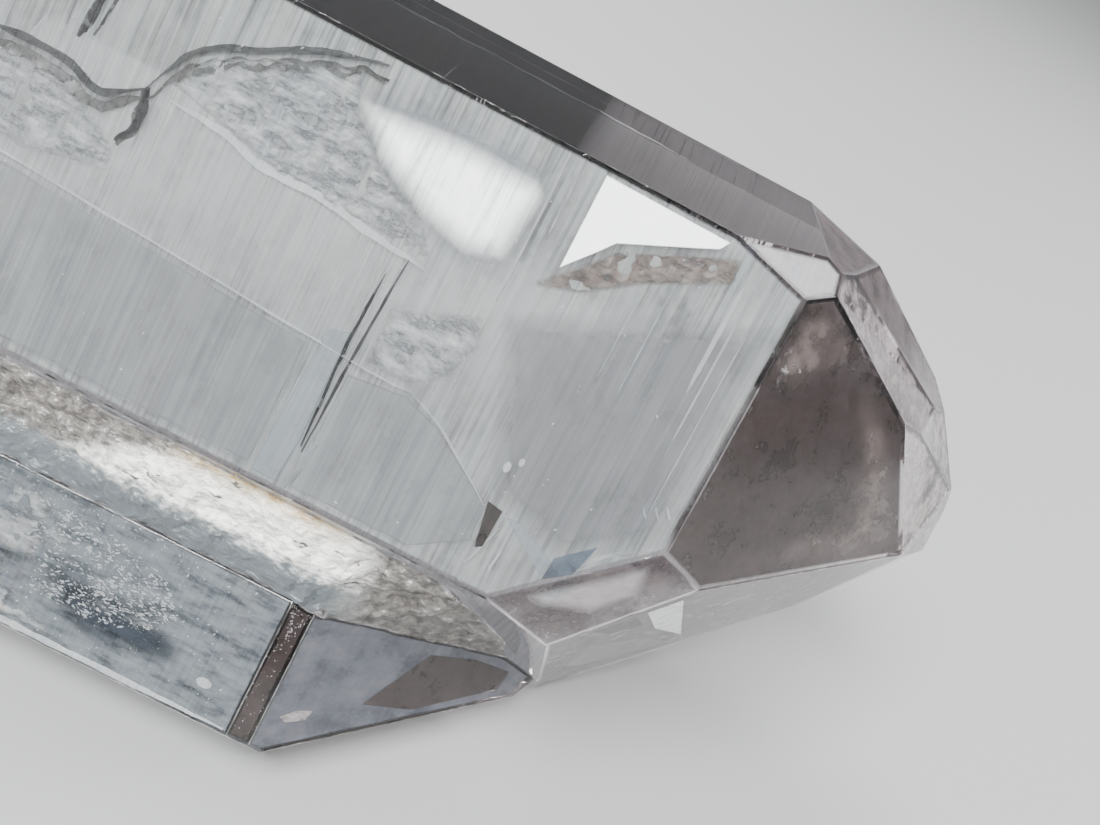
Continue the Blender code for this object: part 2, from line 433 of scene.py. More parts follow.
def veil_material(name, colour, shadow, low, high, most, scale, stretch=(1.0, 1.0, 1.0), lined=0.0):
    """A healed fracture or a haze of tiny bubbles: a broken-up veil inside the crystal, and also the
    sheet that carries painted glares, glints, glows and shade. It covers nothing where its mist is below
    low, and the share most of what is behind it above high."""
    material, tree, shader = new_material(name)
    place, _, _ = place_on_crystal(tree)
    mist = cloud(tree, stretched(tree, place, stretch), scale, 4.0, 0.68)
    lines = cloud(tree, stretched(tree, place, (3.2, 0.06, 0.06)), 1.0, 2.0, 0.75)
    mixed = maths(tree, "ADD", maths(tree, "MULTIPLY", mist, 1.0 - lined),
                  maths(tree, "MULTIPLY", lines, lined))
    feed(tree, shader.inputs["Base Color"],
         blend(tree, spread(tree, mixed, 0.35, 0.65), (*shadow, 1.0), (*colour, 1.0)))
    cover = spread(tree, mixed, low, high, 0.0, most)
    feed(tree, shader.inputs["Alpha"], maths(tree, "MULTIPLY", stored(tree, "fade"), cover))
    feed(tree, shader.inputs["Roughness"], spread(tree, mist, 0.3, 0.7, *VEIL_ROUGHNESS))
    return material


# Shapes

def finish_piece(name, work, material):
    mesh = bpy.data.meshes.new(name)
    work.to_mesh(mesh)
    work.free()
    piece = bpy.data.objects.new(name, mesh)
    bpy.context.scene.collection.objects.link(piece)
    mesh.materials.append(material)
    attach(piece, BODY)
    return piece


def cad_facets():
    """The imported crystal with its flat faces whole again."""
    work = bmesh.new()
    work.from_mesh(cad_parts[NODE].data)
    bmesh.ops.remove_doubles(work, verts=work.verts[:], dist=1e-6)
    bmesh.ops.dissolve_limit(work, angle_limit=math.radians(0.4), verts=work.verts[:],
                             edges=work.edges[:])
    return work


def ranked_faces(work, normal):
    """The flat faces that look along a normal, the largest first."""
    flat = [face for face in work.faces if face.normal.dot(normal) > SAME_FACE]
    flat.sort(key=lambda face: -face.calc_area())
    return flat


def face_outline(facets, normal, rank=0):
    return [vertex.co.copy() for vertex in ranked_faces(facets, normal)[rank].verts]


def is_seam(face):
    """Lumps between the crystals, and the strips of prism face left among them."""
    along, height, _ = local(face.calc_center_median())
    lost = face.normal.dot(LOWER) > 0.999 and height > SEAM_HEIGHT[0]
    small = face.calc_area() < SMALL_LUMP * MM * MM
    return ((small or lost) and SEAM_ALONG[0] < along < SEAM_ALONG[1]
            and SEAM_HEIGHT[0] < height < SEAM_HEIGHT[1] and face.normal.x > BASE_NORMAL
            and face.normal.dot(OUTWARD) < SAME_FACE)


def fine_noise(point, scale, seed=0.0):
    return noise.noise(Vector(point) / (scale * MM) + Vector((seed, seed * 0.7, seed * 1.3)))


def press(work, zone, flag, depth, scale, sink=0.0):
    """Press a zone's inner points in and out, or only in where it sinks. Its border stays."""
    work.normal_update()
    moves = []
    for vertex in work.verts:
        if not vertex.link_faces or any(face[flag] != zone for face in vertex.link_faces):
            continue
        push = fine_noise(vertex.co, scale) + 0.5 * fine_noise(vertex.co, scale * 0.4, 3.1) - sink
        moves.append((vertex, vertex.normal.copy() * min(push, 1.0 - sink) * depth * MM))
    for vertex, move in moves:
        vertex.co += move


def roughen(work, faces, flag):
    """Divide the seam's faces finely."""
    split = bmesh.ops.triangulate(work, faces=[face for face in faces if len(face.verts) > 4])
    faces = [face for face in faces + split["faces"] if face.is_valid]
    for face in faces:
        face[flag] = SEAM_ZONE
    edges = list(dict.fromkeys(edge for face in faces for edge in face.edges))
    bmesh.ops.subdivide_edges(work, edges=edges, cuts=SEAM_CUTS, use_grid_fill=True)
    chosen = [face for face in work.faces if face[flag] == SEAM_ZONE]
    bmesh.ops.triangulate(work, faces=[face for face in chosen if len(face.verts) > 4])


def break_base(work, base, flag):
    """Give the broken end its shell-like relief."""
    pieces = base
    for direction in (Vector((0.0, 1.0, 0.0)), TOP):
        reach = [vertex.co.dot(direction) / MM for face in pieces for vertex in face.verts]
        count = int((max(reach) - min(reach)) / BASE_CELL)
        stations = [min(reach) + (max(reach) - min(reach)) * (index + 0.5) / count
                    for index in range(count)]
        pieces = cut_across(work, pieces, stations, direction, Vector())
    for face in pieces:
        face[flag] = BASE_ZONE
    press(work, BASE_ZONE, flag, BASE_RELIEF, BASE_SHELL, 1.0)


def cut_across(work, faces, stations, direction, origin):
    """Cut only the given faces by planes square to a direction, and return the pieces."""
    pieces = list(faces)
    for station in stations:
        geometry = dict.fromkeys(pieces)
        for face in pieces:
            geometry.update(dict.fromkeys(face.edges))
            geometry.update(dict.fromkeys(face.verts))
        cut = bmesh.ops.bisect_plane(work, geom=list(geometry), dist=1e-7,
                                     plane_co=origin + direction * station * MM,
                                     plane_no=direction)
        pieces = [item for item in cut["geom"] if isinstance(item, bmesh.types.BMFace)]
    return pieces


def line_stations(low, high, draw, depth, widest):
    """Where a face's growth lines run, and how deep the surface lies at each."""
    stations = []
    levels = []
    level = 0.0
    along = low + LINE_MARGIN
    while along < high - LINE_MARGIN:
        stations.append(along)
        levels.append(level)
        level = -depth * draw.random()
        along += LINE_SLOPE
        stations.append(along)
        levels.append(level)
        along += LINE_CLOSEST + widest * draw.random() ** 2.0
    return stations, levels


def line_face(work, normal, rank, seed, depth, widest):
    """Growth lines across one prism face, as shallow steps inside a narrow plain border."""
    work.normal_update()
    face = ranked_faces(work, normal)[rank]
    bmesh.ops.inset_individual(work, faces=[face], thickness=LINE_BORDER * MM, use_even_offset=True)
    reach = [local(vertex.co)[0] for vertex in face.verts]
    draw = random.Random(seed)
    stations, levels = line_stations(min(reach), max(reach), draw, depth, widest)
    pieces = cut_across(work, [face], stations, ALONG, FACE_MIDDLE)
    side = normal.cross(ALONG)
    span = [spot(*local(vertex.co)).dot(side) for piece in pieces for vertex in piece.verts]
    low = (min(span) - FACE_MIDDLE.dot(side)) / MM
    high = (max(span) - FACE_MIDDLE.dot(side)) / MM
    count = max(2, int((high - low) / LINE_SHELF))
    shelves = [low + (high - low) * (index + 0.5 * draw.random()) / count for index in range(1, count)]
    pieces = cut_across(work, pieces, shelves, side, FACE_MIDDLE)
    for vertex in dict.fromkeys(vertex for piece in pieces for vertex in piece.verts):
        along = local(vertex.co)[0]
        nearest = min(range(len(stations)), key=lambda index: abs(stations[index] - along))
        if abs(stations[nearest] - along) > LINE_NEAR:
            continue
        fade = 0.35 + 0.65 * max(0.0, min(1.0, 0.5 + 1.4 * fine_noise(vertex.co, 9.0, 2.0)))
        vertex.co += normal * levels[nearest] * fade * MM


def sharp_edges(work):
    """The edges between the crystal's own flat faces."""
    sharp = []
    for edge in work.edges:
        if len(edge.link_faces) != 2 or not edge.is_convex:
            continue
        if all(face.calc_area() > SMALL_FACE * MM * MM for face in edge.link_faces):
            if edge.calc_face_angle() > SHARP_ANGLE and edge.calc_length() > SHORT_EDGE * MM:
                sharp.append(edge)
    return sharp


def wear_edges(work, flag):
    """Round the sharp edges narrowly, in short steps that the notches need."""
    stepped = []
    for edge in sharp_edges(work):
        count = int(edge.calc_length() / (EDGE_STEP * MM))
        if count > 1:
            split = bmesh.ops.subdivide_edges(work, edges=[edge], cuts=count - 1)
            for part in ("geom_inner", "geom_split"):
                stepped += [item for item in split[part] if isinstance(item, bmesh.types.BMEdge)]
        else:
            stepped.append(edge)
    stepped = [edge for edge in dict.fromkeys(stepped) if edge.is_valid and len(edge.link_faces) == 2
               and edge.calc_face_angle() > BENT_ANGLE]
    worn = bmesh.ops.bevel(work, geom=stepped, offset=EDGE_BEVEL * MM, offset_type="OFFSET",
                           segments=2, profile=0.5, affect="EDGES", clamp_overlap=True)
    for face in worn["faces"]:
        face[flag] = EDGE_ZONE


def notch_edges(work, flag):
    """Bite small notches out of the worn edges, deeper ones where the crystal is battered."""
    for vertex in work.verts:
        if vertex.link_faces and all(face[flag] == EDGE_ZONE for face in vertex.link_faces):
            along, height, _ = local(vertex.co)
            battered = along > BATTERED_ALONG[0] or height < BATTERED_HEIGHT[0]
            calm = 1.0 if battered else CALM_NOTCH
            bite = max(0.0, fine_noise(vertex.co, NOTCH_SPAN, 5.0) + 0.15)
            vertex.co -= vertex.normal * bite * calm * EDGE_NOTCH * MM


def keep_zones(work, flag):
    """Store on the mesh what the quartz material reads: how rough and how worn each place is."""
    layer_rough = work.verts.layers.float.new("rough")
    layer_worn = work.faces.layers.float.new("worn")
    for vertex in work.verts:
        zones = {face[flag] for face in vertex.link_faces}
        if zones == {SEAM_ZONE}:
            vertex[layer_rough] = 1.0
        elif zones == {BASE_ZONE}:
            vertex[layer_rough] = BASE_ROUGHNESS
    for face in work.faces:
        face[layer_worn] = 1.0 if face[flag] == EDGE_ZONE else 0.0


def crystal_surface():
    """The crystal's own surface: worn edges, lined prism faces, rough seam and broken base."""
    work = cad_facets()
    flag = work.faces.layers.int.new("zone")
    base = [face for face in work.faces if face.normal.x < BASE_NORMAL]
    seam = [face for face in work.faces if is_seam(face)]
    wear_edges(work, flag)
    roughen(work, [face for face in seam if face.is_valid], flag)
    press(work, SEAM_ZONE, flag, SEAM_RELIEF, SEAM_LUMP)
    break_base(work, [face for face in base if face.is_valid], flag)
    notch_edges(work, flag)
    for lined in LINED_FACES:
        line_face(work, *lined)
    bmesh.ops.triangulate(work, faces=[face for face in work.faces if len(face.verts) > 4])
    keep_zones(work, flag)
    piece = finish_piece("crystal_surface", work, quartz_material())
    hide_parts(NODE)


def path_smooth(path, steps):
    """A smooth curve through a few points, as many short steps."""
    points = [Vector((item[0], item[1], 0.0)) for item in path]
    points = [points[0] * 2 - points[1]] + points + [points[-1] * 2 - points[-2]]
    curve = []
    for first, second, third, fourth in zip(points, points[1:], points[2:], points[3:]):
        for step in range(steps):
            t = step / steps
            curve.append(0.5 * (2 * second + (third - first) * t
                                + (2 * first - 5 * second + 4 * third - fourth) * t * t
                                + (3 * second - first - 3 * third + fourth) * t ** 3))
    curve.append(points[-2])
    return curve


def set_fade(work, outline, soft):
    """Store on each point how far inside the outline it lies, from 0 at the rim to 1."""
    layer = work.verts.layers.float.new("fade")
    sides = list(zip(outline, outline[1:] + outline[:1]))
    for vertex in work.verts:
        nearest = min(segment_distance(vertex.co, first, second) for first, second in sides)
        vertex[layer] = min(1.0, nearest / (soft * MM))


def segment_distance(point, first, second):
    run = second - first
    share = max(0.0, min(1.0, (point - first).dot(run) / max(run.length_squared, 1e-18)))
    return (point - first - run * share).length


def flat_piece(name, points, normal, material, inset=0.0, depth=0.0, cell=0.8, wave=0.0,
               ripple=2.0, soft=0.5):
    """A thin sheet with the outline of the given points, gently waved, fading at its rim."""
    work = bmesh.new()
    face = work.faces.new([work.verts.new(point) for point in points])
    work.normal_update()
    if inset:
        bmesh.ops.inset_individual(work, faces=[face], thickness=inset * MM, use_even_offset=True)
        rim = [item for item in work.faces if item != face]
        bmesh.ops.delete(work, geom=rim, context="FACES")
    outline = [vertex.co - normal * depth * MM for vertex in face.verts]
    bmesh.ops.translate(work, verts=work.verts[:], vec=-normal * depth * MM)
    across = (ALONG - normal * ALONG.dot(normal)).normalized()
    upward = normal.cross(across)
    origin = outline[0]
    if soft < cell:
        bmesh.ops.inset_individual(work, faces=[face], thickness=soft * MM, use_even_offset=True)
    pieces = [face]
    for direction in (across, upward):
        reach = [(corner - origin).dot(direction) / MM for corner in outline]
        count = int((max(reach) - min(reach)) / cell)
        stations = [min(reach) + (max(reach) - min(reach)) * (index + 1) / (count + 1)
                    for index in range(count)]
        pieces = cut_across(work, pieces, stations, direction, origin)
    set_fade(work, outline, soft)
    if wave:
        for vertex in work.verts:
            push = fine_noise(vertex.co, ripple, len(name)) + 0.4 * fine_noise(vertex.co, ripple * 0.35)
            vertex.co += normal * wave * MM * min(0.0, push - 0.5)
    return finish_piece(name, work, material)


def front_patch(name, outline, material, depth, plane=None, **looks):
    """A sheet just inside the front face, or the plane given, from (along, height) points."""
    points = [spot(along, height) for along, height in outline]
    normal = OUTWARD
    if plane:
        origin, normal = plane
        points = [point + OUTWARD * ((origin - point).dot(normal) / OUTWARD.dot(normal))
                  for point in points]
    return flat_piece(name, points, normal, material, depth=depth, **looks)


def ring(along, height, wide, tall):
    """An oval's outline as (along, height) points, half as wide and tall as given."""
    turns = [math.tau * index / 10 for index in range(10)]
    return [(along + wide * math.cos(turn), height + tall * math.sin(turn)) for turn in turns]


def ribbons(name, paths, material, depth, dive=0.5, jitter=0.0, steps=7, frame_of=None):
    """Narrow strips along paths under a face, each path with its own width."""
    origin, across, upward, normal = frame_of or (FACE_MIDDLE, ALONG, UPWARD, OUTWARD)
    work = bmesh.new()
    layer = work.verts.layers.float.new("fade")
    for width, path in paths:
        curve = path_smooth(path, steps)
        rails = []
        for index, point in enumerate(curve):
            ahead = curve[min(index + 1, len(curve) - 1)] - curve[max(index - 1, 0)]
            side = Vector((-ahead.y, ahead.x, 0.0)).normalized()
            wander = jitter * noise.noise(point * 0.9 + Vector((width, 0.0, 2.0)))
            share = index / (len(curve) - 1)
            half = 0.5 * width * (0.25 + min(1.0, 5.0 * share, 5.0 * (1.0 - share)) * 0.75)
            half *= 1.0 + 0.5 * noise.noise(point * 1.3)
            middle = point + side * wander
            rail = []
            for offset, level in ((-half, 0.0), (0.0, -0.4 * dive), (half, -dive)):
                place = middle + side * offset
                place = across * place.x + upward * place.y + normal * (level - depth)
                vertex = work.verts.new(origin + place * MM)
                vertex[layer] = 1.0
                rail.append(vertex)
            rails.append(rail)
        for first, second in zip(rails, rails[1:]):
            work.faces.new((first[0], first[1], second[1], second[0]))
            work.faces.new((first[1], first[2], second[2], second[1]))
    return finish_piece(name, work, material)


def specks(name, seed, count, outline, normal, depth, sizes, material, long=1.0, swing=math.pi):
    """Tiny flat flakes scattered under a face, joined in one piece; all of them are white painted
    glints.
    """
    draw = random.Random(seed)
    work = bmesh.new()
    layer = work.verts.layers.float.new("fade")
    across = (ALONG - normal * ALONG.dot(normal)).normalized()
    upward = normal.cross(across)
    middle = sum(outline, Vector()) / len(outline)
    for _ in range(count):
        first = draw.randrange(len(outline))
        corner = outline[first]
        after = outline[(first + 1) % len(outline)]
        share = draw.random()
        pull = math.sqrt(draw.random()) * 0.94
        point = middle + (corner.lerp(after, share) - middle) * pull
        point = point - normal * (depth[0] + (depth[1] - depth[0]) * draw.random()) * MM
        size = (sizes[0] + (sizes[1] - sizes[0]) * draw.random() ** 3) * MM
        spin = (draw.random() * 2.0 - 1.0) * swing
        tilt = normal * (draw.random() - 0.5) * 0.9
        one = (across * math.cos(spin) + upward * math.sin(spin) + tilt).normalized() * size * long
        two = (upward * math.cos(spin) - across * math.sin(spin)) * size * 0.5
        corners = []
        for corner_index in range(5):
            angle = math.tau * corner_index / 5
            reach = 0.7 + 0.5 * draw.random()
            vertex = work.verts.new(point + (one * math.cos(angle) + two * math.sin(angle)) * reach)
            vertex[layer] = 1.0
            corners.append(vertex)
        work.faces.new(corners)
    return finish_piece(name, work, material)


# What lies inside, and the painted glares, glints, glows and shade

EVEN = (1.0, 1.0, 1.0)
LYING = (1.0, 0.6, 1.0)
FLAT = (1.0, 0.5, 1.0)
# Each look: its material's name, its light and dark colour, the mist's range and strongest cover,
# the mist's scale, how it is stretched and how much of it is fine lines
LOOKS = {
    "silver": ("silver_haze", (0.84, 0.86, 0.845), (0.42, 0.43, 0.425), 0.15, 0.50, 0.88, 0.25,
               LYING, 0.55),
    "blue": ("blue_haze", (0.47, 0.50, 0.53), (0.15, 0.17, 0.19), 0.0, 0.50, 0.95, 0.6,
             (0.5, 1.5, 1.0), 0.15),
    "calm_blue": ("calm_blue_haze", (0.30, 0.34, 0.40), (0.13, 0.16, 0.20), -0.2, 0.40, 0.90, 0.35,
                  (0.8, 1.2, 1.0), 0.2),
    "dim": ("dim_zone", (0.70, 0.72, 0.715), (0.42, 0.435, 0.435), -1.0, 0.0, 0.60, 0.3, LYING, 0.6),
    "lilac": ("lilac_zone", (0.51, 0.50, 0.515), (0.27, 0.265, 0.275), -1.0, 0.0, 0.60, 0.3, LYING, 0.6),
    # Painted reflections and highlights: the white glare, which also whitens the shoulder chip, and the
    # window sheen
    "white": ("white_glare", (1.0, 1.0, 0.99), (0.90, 0.92, 0.93), -0.10, 0.30, 1.0, 0.7, FLAT, 0.3),
    "sheen": ("window_sheen", (1.0, 1.0, 0.99), (0.66, 0.70, 0.72), 0.10, 0.46, 1.0, 0.6, FLAT, 0.65),
    "frost": ("healed_veil", (1.0, 1.0, 0.99), (0.16, 0.18, 0.20), 0.34, 0.46, 0.97, 0.9,
              (0.45, 1.5, 1.0)),
    "dark": ("dark_crack", (0.10, 0.10, 0.10), (0.03, 0.03, 0.033), 0.20, 0.45, 0.92, 1.4),
    "ash": ("ash_crack", (0.19, 0.185, 0.175), (0.05, 0.05, 0.048), 0.20, 0.45, 0.92, 1.2),
    "brown": ("brown_veil", (0.40, 0.32, 0.28), (0.14, 0.11, 0.10), 0.15, 0.42, 0.90, 0.9,
              (1.0, 2.4, 1.0)),
    "smoke": ("point_smoke", (0.082, 0.066, 0.062), (0.045, 0.036, 0.033), -0.40, 0.45, 0.96, 0.40),
    # Painted glow: a lighter haze that makes parts of the point glow softly
    "dawn": ("point_glow", (0.50, 0.44, 0.41), (0.24, 0.20, 0.185), 0.05, 0.55, 0.70, 0.45),
    # Painted glints: pure white, for sparkles, small bright spots and a bright rim
    "glint": ("glint", (1.0, 1.0, 1.0), (0.94, 0.96, 0.98), -1.0, 0.0, 1.0, 0.7),
    # A light haze that is partly a painted highlight on the tip facets
    "pearl": ("pearl_haze_and_highlight", (0.85, 0.82, 0.82), (0.22, 0.20, 0.20), 0.34, 0.56, 0.88, 0.6),
    # A smoky tint; on the faces that look down it is made dark as painted shade
    "rose": ("rose_haze_and_shade", (0.23, 0.195, 0.20), (0.07, 0.056, 0.059), -0.10, 0.50, 0.92, 0.5),
    "pale": ("pale_plane", (0.62, 0.66, 0.69), (0.46, 0.50, 0.53), -0.2, 0.30, 0.90, 0.5, EVEN, 0.4),
    "navy": ("side_dusk", (0.07, 0.09, 0.12), (0.02, 0.025, 0.035), 0.30, 0.50, 0.92, 0.7,
             (0.5, 1.6, 1.0)),
    "slate": ("slate_plane", (0.24, 0.28, 0.34), (0.12, 0.14, 0.18), 0.05, 0.35, 0.95, 0.5),
}

# The flat faces that hold the sheets: each one's normal, and its rank by area among those alike
FACES = {
    "front": (OUTWARD, 0),
    "side": (OUTWARD, 1),
    "side_lower": (LOWER, 0),
    "point": (turned_normal(150.0, 51.8), 0),
    "side_point": (turned_normal(150.0, 51.8), 1),
    "side_step": (turned_normal(150.0, 71.0), 0),
    "side_low": (turned_normal(210.0, 51.8), 0),
    "point_low": (turned_normal(201.4, 49.7), 0),
    "belt": (turned_normal(180.0, 65.6), 0),
    "shoulder": (turned_normal(108.6, 79.9), 0),
    "bevel": (turned_normal(106.4, 48.5), 0),
    "tip": (turned_normal(132.4, 41.2), 0),
    "tip_low": (turned_normal(145.2, 31.3), 0),
    "tip_top": (turned_normal(109.6, 43.1), 0),
    "point_top": (turned_normal(97.6, 50.7), 0),
    "top_end": (turned_normal(85.6, 72.8), 0),
    "tip_side": (turned_normal(205.3, 43.0), 0),
}

# Hazes behind whole faces: name, face, look, and in mm the inset from the face's edges, the depth
# under it, the cells it is divided into, its waves and its soft rim
LARGE_HAZES = [
    ("front_haze", "front", "silver", 0.22, 0.36, 1.5, 0.03, 0.2),
    ("side_haze", "side", "blue", 0.12, 0.22, 1.0, 0.05, 0.15),
    ("point_haze", "point", "smoke", 0.2, 0.3, 1.2, 0.1, 0.2),
    ("point_haze_deep", "point", "smoke", 0.9, 2.2, 1.2, 0.6, 1.5),
    ("side_point_haze", "side_point", "calm_blue", 0.15, 0.25, 1.0, 0.1, 0.15),
    ("side_step_haze", "side_step", "smoke", 0.1, 0.3, 0.8, 0.1, 0.2),
    ("side_low_haze", "side_low", "smoke", 0.15, 0.25, 1.0, 0.1, 0.15),
    # The rose hazes under the lower point face and the belt are partly painted shade
    ("point_low_haze", "point_low", "rose", 0.2, 0.3, 1.2, 0.1, 0.2),
    ("belt_haze", "belt", "rose", 0.1, 0.25, 1.0, 0.0, 0.15),
    ("side_lower_haze", "side_lower", "blue", 0.2, 0.3, 1.2, 0.1, 0.2),
]
SMALL_HAZES = [
    ("shoulder_chip", "shoulder", "white", 0.15, 0.2, 0.8, 0.1, 0.3),
    # The pearl hazes under the tip facets are partly painted highlights
    ("bevel_haze", "bevel", "pearl", 0.15, 0.2, 0.8, 0.1, 0.3),
    ("tip_haze", "tip", "pearl", 0.15, 0.2, 0.8, 0.1, 0.3),
    ("tip_haze_low", "tip_low", "pearl", 0.15, 0.2, 0.8, 0.1, 0.3),
    ("tip_haze_top", "tip_top", "pearl", 0.15, 0.2, 0.8, 0.1, 0.3),
    # Rose hazes as a smoky tint on these facets
    ("point_top_haze", "point_top", "rose", 0.15, 0.2, 0.8, 0.1, 0.3),
    ("top_end_haze", "top_end", "rose", 0.15, 0.2, 0.8, 0.1, 0.3),
    ("tip_haze_side", "tip_side", "rose", 0.15, 0.2, 0.8, 0.1, 0.3),
]

# Sheets with outlines of their own, as (along, height) in mm: name, look, depth, the face they
# follow unless it is the front one, the settings of the sheet and the outline
PATCHES = [
    ("dim_zone", "dim", 0.26, None, dict(cell=1.5, soft=0.5),
     [(-41.0, -1.4), (-24.0, -2.4), (-15.4, -2.9), (-15.4, -12.2), (-41.0, -12.2)]),
    ("blue_zone", "dim", 0.26, None, dict(cell=1.5, soft=0.3),
     [(-12.6, -3.7), (-8.5, -3.2), (-5.8, -4.1), (-2.7, -6.0), (-0.8, -7.2), (-0.5, -9.9),
      (-4.1, -12.2), (-12.8, -12.2)]),
    ("lilac_zone", "lilac", 0.26, None, dict(cell=1.0, soft=1.8),
     [(-5.7, 4.3), (1.7, 8.0), (10.3, 11.6), (10.3, -4.6), (5.0, -8.6), (-1.2, -6.6)]),
    ("pale_band", "pale", 0.2, None, dict(cell=0.8, soft=0.1),
     [(-14.8, -1.7), (-13.4, -1.3), (-13.3, -9.0), (-13.6, -12.2), (-15.4, -12.2)]),
    # Painted reflection of the window lamp: a pale halo and, on the face itself, the bright glare
    ("glare_halo", "pale", 0.1, None, dict(cell=0.8, soft=2.4),
     [(-20.0, 12.6), (-14.0, 13.8), (-6.4, 13.8), (-6.2, 5.6), (-9.6, 5.2), (-16.6, 8.2)]),
    ("window_glare", "sheen", -0.015, None, dict(cell=0.5, soft=1.5),
     [(-19.4, 11.8), (-13.0, 12.6), (-7.0, 12.5), (-6.3, 11.6), (-6.8, 7.0), (-9.4, 6.2),
      (-12.6, 7.0), (-16.4, 8.8)]),
    # Painted glare on the shoulder
    ("shoulder_glare", "white", -0.015, None, dict(cell=0.6, soft=0.1),
     [(-3.7, 14.6), (5.0, 14.5), (4.6, 13.8), (3.5, 13.3), (-1.2, 11.2), (-2.0, 10.2), (-3.7, 8.2)]),
    ("healed_fracture", "frost", 0.12, None, dict(cell=0.3, wave=0.3, ripple=0.8, soft=0.4),
     [(-30.0, 7.2), (-28.4, 9.8), (-25.0, 11.4), (-19.6, 13.4), (-18.8, 11.0), (-16.2, 8.8),
      (-12.6, 7.2), (-10.9, 4.9), (-15.5, 5.0), (-22.0, 5.4)]),
    ("left_fracture", "frost", 0.12, None, dict(cell=0.35, wave=0.3, ripple=1.0, soft=0.8),
     [(-41.0, 4.9), (-36.0, 5.0), (-31.4, 2.3), (-31.0, 0.5), (-36.0, -0.6), (-42.0, -0.6)]),
    ("mottled_zone", "frost", 0.12, None, dict(cell=0.35, wave=0.3, ripple=0.9, soft=0.8),
     [(-12.0, 1.2), (-6.3, 3.6), (-5.7, 1.5), (-6.5, -1.1), (-8.6, -2.8), (-12.0, -2.9)]),
    ("shoulder_fracture", "brown", 0.12, None, dict(cell=0.35, wave=0.3, ripple=1.0, soft=0.35),
     [(-5.4, 6.2), (-3.2, 8.4), (-1.1, 10.8), (3.5, 13.0), (6.2, 14.0), (6.5, 12.3), (4.4, 11.2),
      (1.3, 9.6), (-1.7, 7.4)]),
    ("pale_strip", "pale", 0.15, None, dict(soft=0.05),
     [(0.6, -7.3), (1.8, -7.3), (4.6, -8.6), (4.4, -9.8)]),
    ("blue_plane", "slate", 0.15, None, dict(soft=0.05),
     [(4.6, -8.3), (6.8, -6.3), (6.2, -8.7), (4.5, -10.0)]),
    ("brown_plane", "smoke", 0.15, None, dict(soft=0.05),
     [(-0.9, -6.9), (0.3, -7.1), (0.2, -9.8), (-0.3, -10.1)]),
    ("side_dusk", "navy", 0.17, "side", dict(cell=1.0, soft=1.3),
     [(-27.5, -26.0), (-23.0, -25.2), (-18.0, -25.4), (-13.6, -27.0), (-15.5, -28.8), (-22.0, -29.6)]),
    ("side_frost", "frost", 0.1, "side", dict(cell=0.35, wave=0.2, ripple=0.9, soft=1.2),
     [(-33.0, -20.8), (-27.8, -21.0), (-24.4, -23.8), (-27.0, -26.2), (-32.0, -27.0)]),
    ("side_low_frost", "frost", 0.1, "side", dict(cell=0.35, wave=0.2, ripple=0.9, soft=0.8),
     [(-32.0, -28.0), (-27.0, -28.4), (-22.6, -30.4), (-24.5, -30.9), (-32.0, -30.9)]),
    # Two drops and a spot, painted pure white as glints
    ("drop_left", "glint", 0.08, None, dict(soft=0.05), ring(-0.8, -4.4, 0.28, 0.42)),
    ("drop_right", "glint", 0.08, None, dict(soft=0.05), ring(-0.1, -3.7, 0.22, 0.34)),
    ("side_spot", "glint", 0.08, "side", dict(soft=0.05), ring(-12.4, -28.4, 0.62, 0.42)),
    # Painted glares on the belt and at its corner
    ("belt_glare", "white", 0.1, "belt", dict(cell=0.6, soft=0.9),
     [(3.9, -11.7), (6.8, -9.1), (10.6, -5.7), (11.3, -8.6), (9.0, -11.4), (5.5, -12.2)]),
    ("corner_glare", "white", 0.2, None, dict(cell=0.6, soft=0.4),
     [(4.8, -9.2), (7.2, -6.5), (10.5, -4.6), (9.0, -5.9), (6.0, -8.7)]),
    # A painted glare on a facet of the lower point, just outside the surface
    ("white_facet", "glint", -0.015, "point_low", dict(soft=0.05),
     [(12.6, -9.9), (14.3, -7.8), (19.0, -14.0), (15.2, -12.6)]),
    ("brown_facet", "smoke", 0.08, "point_low", dict(soft=0.1),
     [(12.2, -10.5), (13.8, -12.0), (11.5, -13.6), (10.1, -13.1)]),
    ("grey_facet", "pale", 0.08, "point_low", dict(cell=1.5, soft=0.6),
     [(11.1, -15.4), (16.1, -14.5), (20.0, -15.2), (12.7, -20.1), (10.9, -20.2)]),
    ("side_brown_zone", "smoke", 0.1, "side_point", dict(cell=0.8, soft=0.1),
     [(1.0, -22.2), (-2.0, -27.2), (1.6, -27.2), (7.4, -24.4), (7.6, -22.6), (4.5, -22.0)]),
    ("side_flake", "frost", 0.08, "side_point", dict(cell=0.3, wave=0.1, ripple=0.6, soft=0.1),
     [(-6.8, -28.9), (-5.9, -28.2), (-4.8, -28.1), (-5.0, -29.0), (-6.2, -29.4)]),
    # Painted glow in the point
    ("point_glow", "dawn", 0.26, "point", dict(cell=0.9, soft=2.6),
     [(17.0, 11.6), (22.5, 9.4), (29.4, 1.6), (27.0, -1.2), (19.0, -3.8), (18.5, -1.5), (23.0, 2.0),
      (20.0, 7.0)]),
    ("point_corner_glow", "dawn", 0.22, "point", dict(cell=0.8, soft=1.6),
     [(11.0, 12.8), (13.0, 14.2), (16.5, 12.2), (14.0, 8.4), (11.0, 7.8)]),
    ("bubble_cluster", "frost", 0.1, "point", dict(cell=0.22, wave=0.8, ripple=0.5, soft=0.4),
     [(11.2, 10.6), (12.6, 11.0), (13.6, 9.6), (13.4, 8.0), (12.2, 7.6), (11.2, 9.0)]),
]

